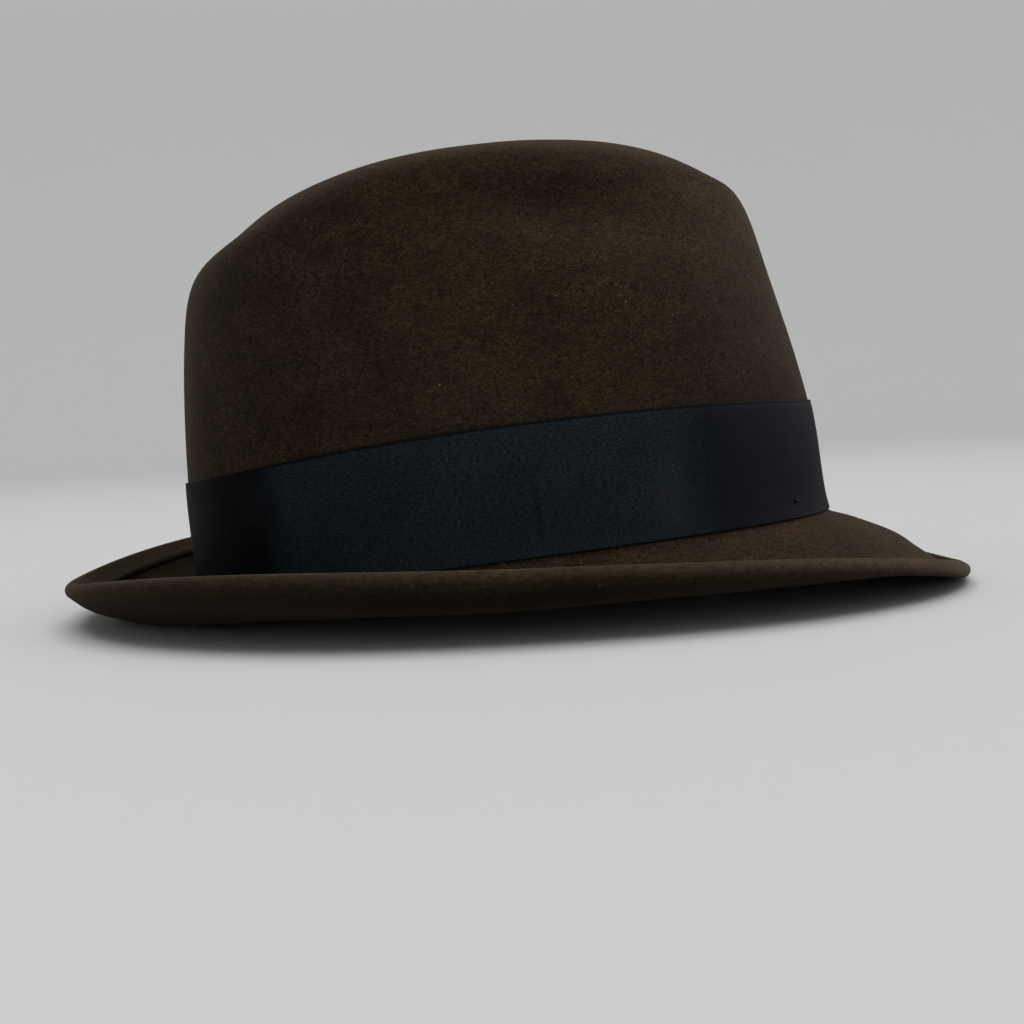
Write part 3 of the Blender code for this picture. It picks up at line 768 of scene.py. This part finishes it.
def make_tacks(finish):
    """Short stitches that hold the band to the felt, two strands each."""
    reach, height, lift = 1.8, 8.0, GAP + BAND_THICKNESS + GAP + 0.2
    for name, degrees in TACKS.items():
        center = surface(LEVEL["corner"] + height / BAND_HEIGHT, math.radians(degrees))
        lines = []
        for strand in (-0.5, 0.5):
            share = np.linspace(-1, 1, 13)
            angles = math.radians(degrees) + share * reach / np.hypot(*center[:2])
            levels = LEVEL["corner"] + (height + 0.35 * share * np.sign(degrees) + strand * 0.4) / BAND_HEIGHT
            lines.append(offset(levels, angles, lift - 0.75 * share**4))
        mesh = tubes_mesh("tack", lines, 0.2, 8, strands=3, twist=3.0)
        add_piece("tack_stitch_" + name, mesh, finish, ("band_tack_" + name,))


# ---------------------------------------------------------------- inside the hat

SWEATBAND_FOOT = LEVEL["corner"] + 0.09
SWEATBAND_TOP = 6.35
SWEATBAND_THICKNESS = 1.0
SWEATBAND_INSET = FELT + GAP + 0.6
SWEATBAND_LEAN = 1.0
REED_RADIUS = 1.1
LINER_THICKNESS = 0.5
LINER_INSET = FELT + GAP + 0.5
LINER_TIP_LEVEL = 7.45
LINER_RADIUS, LINER_RISE = 85.0, 38.0  # about its reach, and its height for each ring level
WALL_GATHERS, TIP_GATHERS = 64, 48


def sweatband_face(level):
    """How far inside the felt's outer surface the leather's outer face is, at a ring level."""
    return SWEATBAND_INSET + SWEATBAND_LEAN * (level - SWEATBAND_FOOT) / (SWEATBAND_TOP - SWEATBAND_FOOT)


def make_sweatband(leather, thread, tape):
    """The leather band that meets the head, its stiff cord, and the stitches that join them."""
    angles = np.arange(AROUND * 2) * TURN / (AROUND * 2)
    levels = np.linspace(SWEATBAND_FOOT, SWEATBAND_TOP, 26)
    flare = 0.35 * soft_step(levels, SWEATBAND_TOP - 0.1, SWEATBAND_TOP)
    outer = offset(levels[:, None], angles, -sweatband_face(levels)[:, None] + flare[:, None])
    # The inner face has a tooled line near its top edge and the slow creases of a worn band.
    inner = offset(levels[:, None], angles, -(sweatband_face(levels) + SWEATBAND_THICKNESS)[:, None])
    crease = 0.22 * slow_waves(inner * np.array([1, 1, 0.35]), 9, 4) * soft_step(levels, 5.2, 5.8)[:, None]
    line = 0.22 * np.exp(-(((levels - (SWEATBAND_TOP - 0.12)) / 0.012) ** 2))[:, None]
    lift = crease + line + 0.25 * soft_step(levels, SWEATBAND_TOP - 0.05, SWEATBAND_TOP)[:, None]
    inner = offset(levels[:, None], angles, -(sweatband_face(levels) + SWEATBAND_THICKNESS)[:, None] + lift)
    middle = (outer[-1:] + inner[-1:]) / 2 + np.array([0, 0, 0.35])
    rows = np.concatenate([outer, middle, inner[::-1]])
    mesh = grid_mesh("sweatband_leather", rows, closed=True, wrapped=True)
    add_piece("sweatband_leather", mesh, leather, ("sweatband",))
    reed = offset(LEVEL["corner"] - 0.01, angles, -(FELT + GAP + REED_RADIUS))
    mesh = tubes_mesh("reed", [reed], REED_RADIUS, 14, closed=True)
    add_piece("sweatband_reed_cover", mesh, tape, ("sweatband_reed",))
    make_sweatband_stitches(thread)


def make_sweatband_stitches(thread):
    """A run of single stitches along the foot of the leather."""
    level = SWEATBAND_FOOT + 0.08
    inset = SWEATBAND_INSET + SWEATBAND_THICKNESS + 0.45
    rough = np.linspace(0, TURN, 721)
    path = offset(level, rough, -inset)
    run = np.concatenate([[0], np.cumsum(np.linalg.norm(np.diff(path, axis=0), axis=1))])
    pitch = run[-1] / round(run[-1] / 3.1)
    lines = []
    for start in np.arange(0, run[-1] - pitch / 2, pitch):
        share = np.linspace(-1, 1, 9)
        angles = np.interp(start + pitch / 2 + share * 1.15, run, rough)
        lines.append(offset(level + 0.006 * share, angles, -inset + 0.35 * share**4))
    mesh = tubes_mesh("stitches", lines, 0.26, 8, strands=2, twist=4.0)
    add_piece("sweatband_stitches", mesh, thread, ("sweatband_stitching",))


def inner_patch(levels, degrees, lift, count=(15, 21)):
    """A grid over the leather's inner face, this far off it: its points and its (u, v) in millimetres."""
    level = np.linspace(*levels, count[0])[:, None]
    angle = np.radians(np.linspace(*degrees, count[1]))
    rows = offset(level, angle, -(sweatband_face(level) + SWEATBAND_THICKNESS + lift))
    u = np.cumsum(np.linalg.norm(np.diff(rows, axis=1, prepend=rows[:, :1]), axis=-1), axis=1)
    v = np.cumsum(np.linalg.norm(np.diff(rows, axis=0, prepend=rows[:1]), axis=-1), axis=0)
    return rows, np.stack([u, v], axis=-1)


def make_seam_tape(tape):
    """The tape over the leather's rear join."""
    rows, cloth = inner_patch((5.35, 6.25), (177.5, 182.5), 0.45)
    mesh = thicken(grid_mesh("seam_tape", rows, uv=cloth), 0.35)
    add_piece("seam_tape_cloth", mesh, tape, ("sweatband_seam_tape",))


def make_inner_bow(ribbon):
    """The small bow at the foot of the seam tape: two puffed, pleated loops and a knot."""
    low, high = 5.27, 5.47
    middle, half = (low + high) / 2, (high - low) / 2
    across, share = np.linspace(-1, 1, 15)[:, None], np.linspace(0, 1, 31)
    for name, start, end in (("left", 178.7, 170.5), ("right", 181.3, 189.5)):
        level = middle + across * half * (0.45 + 0.55 * soft_step(share, 0, 0.55))
        puff = 1.1 * np.sin(math.pi * np.clip(share * 0.92 + 0.08, 0, 1)) ** 0.6
        pleat = 0.22 * np.cos(across * TURN) * (1 - share)
        angle = np.radians(start + (end - start) * share)
        face = sweatband_face(level) + SWEATBAND_THICKNESS
        rows = offset(level, angle, -(face + 1.0 + puff + pleat))
        if end < start:
            rows = rows[:, ::-1]
        mesh = thicken(grid_mesh("inner_bow", rows), 0.35)
        add_piece("inner_bow_loop_" + name, mesh, ribbon, ("sweatband_bow_" + name,))
    rows = inner_patch((5.30, 5.44), (178.6, 181.4), 1.0)[0]
    bulge = np.sin(math.pi * np.linspace(0, 1, 15))[:, None] * np.sin(math.pi * np.linspace(0, 1, 21))
    center = np.array([0.0, 0.0, rows[..., 2].mean()])
    inward = center - rows.mean(axis=(0, 1))
    rows = rows + inward / np.linalg.norm(inward) * (0.4 + 1.5 * bulge[..., None])
    mesh = thicken(grid_mesh("inner_knot", rows), 0.5)
    add_piece("inner_bow_knot", mesh, ribbon, ("sweatband_bow_knot",))


def make_tag(cloth_finish):
    """A blank size tag, flat against the leather near its rear."""
    rows, cloth = inner_patch((5.75, 6.05), (148, 160), 0.35, (13, 31))
    mesh = thicken(grid_mesh("tag", rows, uv=cloth), 0.3)
    add_piece("blank_tag_cloth", mesh, cloth_finish, ("size_tag",))


def make_lining_wall(satin, angles):
    """The gathered side wall of the lining."""
    levels = np.linspace(SWEATBAND_TOP - 0.12, LINER_TIP_LEVEL - 0.06, 30)[:, None]
    rows = offset(levels, angles, -LINER_INSET)
    u = angles * LINER_RADIUS + 0 * levels
    v = (levels - levels[0]) * LINER_RISE + 0 * angles
    uneven = 2.5 * slow_waves(rows * np.array([1, 1, 0.2]), 30, 5)
    gather = 0.5 + 0.5 * np.sin(angles * WALL_GATHERS + uneven)
    gather = gather * (0.35 + 0.65 * soft_step(levels, SWEATBAND_TOP, LINER_TIP_LEVEL))
    rows = offset(levels, angles, -(LINER_INSET + 0.45 * gather))
    mesh = thicken(grid_mesh("lining_wall", rows, closed=True, uv=np.stack([u, v], axis=-1)), LINER_THICKNESS)
    wall = add_piece("lining_wall_satin", mesh, satin, ("liner_wall",))


def make_lining_tip(satin, rim, angles):
    """The oval tip under the dent, sagging a little inside its rim and puckered where it is sewn."""
    center = rim.mean(axis=0)
    shares = np.linspace(0.975, 0.04, 36)[:, None]
    flat = center + (rim - center) * shares[..., None]
    sag = 2.5 * np.sin(math.pi / 2 * np.minimum(1, (1 - shares) * 1.6))
    uneven = 2 * slow_waves(flat, 25, 6)
    pucker = 0.22 * np.sin(angles * TIP_GATHERS + uneven) * soft_step(shares, 0.45, 0.97)
    swell = 0.7 * slow_waves(flat, 30, 7) * (1 - soft_step(shares, 0.8, 0.97))
    rows = flat - np.array([0, 0, 1.0]) * (sag - pucker - swell)[..., None]
    uv = rows[..., :2] + 200  # another stretch of the cloth than the wall's
    mesh = thicken(grid_mesh("lining_tip", rows, closed=True, zipped=True, uv=uv), LINER_THICKNESS)
    tip = add_piece("lining_tip_satin", mesh, satin, ("liner_tip",))


def make_lining(satin, piping):
    """The wall, the corded piping round its top, and the tip that the piping joins to it."""
    angles = np.arange(AROUND * 2) * TURN / (AROUND * 2)
    make_lining_wall(satin, angles)
    rim = offset(LINER_TIP_LEVEL, angles, -(LINER_INSET + 0.8))
    mesh = tubes_mesh("piping", [rim], 0.9, 12, closed=True, strands=3, twist=1.2)
    add_piece("lining_piping_cord", mesh, piping, ("liner_piping",))
    make_lining_tip(satin, rim, angles)


# ---------------------------------------------------------------- stage, light and camera


def make_stage():
    """A pale floor that rises into a backdrop all round."""
    floor_radius, rise_radius, wall_height = 1.6, 0.7, 1.2
    profile = [(0.0, 0.0), (floor_radius, 0.0)]
    for turn in np.radians(np.linspace(10, 90, 9)):
        profile.append((floor_radius + rise_radius * math.sin(turn), rise_radius * (1 - math.cos(turn))))
    profile.append((floor_radius + rise_radius, rise_radius + wall_height))
    mesh = bpy.data.meshes.new("floor")
    turned = bmesh.new()
    points = [turned.verts.new((radius, 0, height)) for radius, height in profile]
    edges = [turned.edges.new(pair) for pair in zip(points, points[1:])]
    bmesh.ops.spin(
        turned, geom=points + edges, axis=(0, 0, 1), cent=(0, 0, 0), angle=TURN, steps=96, use_merge=True
    )
    bmesh.ops.remove_doubles(turned, verts=turned.verts, dist=1e-5)
    bmesh.ops.recalc_face_normals(turned, faces=turned.faces)
    turned.to_mesh(mesh)
    turned.free()
    mesh.shade_smooth()
    paper = Finish("pale_floor", 0.9)
    paper.color((0.62, 0.62, 0.62))
    mesh.materials.append(paper.material)
    floor = bpy.data.objects.new("floor", mesh)
    bpy.context.scene.collection.objects.link(floor)


def add_light(name, location, target, size, power, lit):
    """A square softbox that faces its target and lights only the pieces in one collection."""
    light = bpy.data.lights.new(name, "AREA")
    light.size = size
    light.energy = power
    lamp = bpy.data.objects.new(name, light)
    lamp.location = location
    lamp.rotation_euler = (Vector(target) - Vector(location)).to_track_quat("-Z", "Y").to_euler()
    lamp.light_linking.receiver_collection = lit
    bpy.context.scene.collection.objects.link(lamp)


def make_light():
    """Softboxes for the dark hat, and others for the pale floor, so that it doesn't glow under the brim."""
    world = bpy.data.worlds.new("studio")
    bpy.context.scene.world = world
    world.use_nodes = True
    world.node_tree.nodes["Background"].inputs["Color"].default_value = (1, 1, 1, 1)
    world.node_tree.nodes["Background"].inputs["Strength"].default_value = 0.15
    hat, room = bpy.data.collections.new("lit_hat"), bpy.data.collections.new("lit_room")
    for piece in bpy.context.scene.objects:
        if piece.type == "MESH":
            (room if piece.name == "floor" else hat).objects.link(piece)
    center = (0.02, 0, 0.08)
    add_light("key", (1.05, -0.38, 1.02), center, 0.9, 18.0, hat)
    add_light("front", (-0.15, -1.25, 0.65), center, 0.8, 6.5, hat)
    add_light("rim", (1.3, 0.4, 0.7), center, 0.7, 10.5, hat)
    add_light("fill", (-1.0, 1.0, 0.95), center, 1.0, 8.0, hat)
    add_light("floor_light", (0.0, -0.2, 1.7), (0, 0.1, 0), 2.4, 22.0, room)
    reach = 2.1  # where the backdrop's lights point at its rise
    for name, turn in (("ahead", 0), ("left", 90), ("behind", 180), ("right", 270)):
        x, y = math.cos(math.radians(turn)), math.sin(math.radians(turn))
        add_light("backdrop_light_" + name, (x, y, 1.9), (reach * x, reach * y, 0.6), 1.2, 8.0, room)


CAMERA_TARGET = (-0.0022, -0.00265, 0.02743)
CAMERA_DISTANCE = 0.5115
CAMERA_AZIMUTH, CAMERA_ELEVATION, CAMERA_ROLL = -4.83, 3.76, -2.69
CAMERA_LENS = 54.05


def make_camera():
    """The hat's right side from close by, a little from the rear and above."""
    data = bpy.data.cameras.new("camera")
    data.lens = CAMERA_LENS
    data.sensor_width = 36
    data.clip_start = 0.01
    camera = bpy.data.objects.new("camera", data)
    bpy.context.scene.collection.objects.link(camera)
    turn = (
        Matrix.Rotation(math.radians(CAMERA_AZIMUTH), 4, "Z")
        @ Matrix.Rotation(math.radians(90 - CAMERA_ELEVATION), 4, "X")
        @ Matrix.Rotation(math.radians(CAMERA_ROLL), 4, "Z")
    )
    back = turn @ Vector((0, 0, 1))
    camera.matrix_world = Matrix.Translation(Vector(CAMERA_TARGET) + back * CAMERA_DISTANCE) @ turn
    bpy.context.scene.camera = camera
    bpy.context.scene.view_settings.view_transform = "Standard"


make_stage()
make_camera()
make_felt()
grosgrain = ribbon_finish()
make_band(grosgrain)
make_bow(grosgrain)
make_tacks(thread_finish("dark_thread", (0.0016, 0.0016, 0.002)))
tan_thread = thread_finish("tan_thread", (0.16, 0.095, 0.045))
reed_tape = tape_finish()
make_sweatband(leather_finish(), tan_thread, reed_tape)
make_seam_tape(reed_tape)
make_inner_bow(inner_ribbon_finish())
make_tag(tag_finish())
make_lining(satin_finish(), thread_finish("piping_cord", (0.05, 0.035, 0.024)))
make_light()
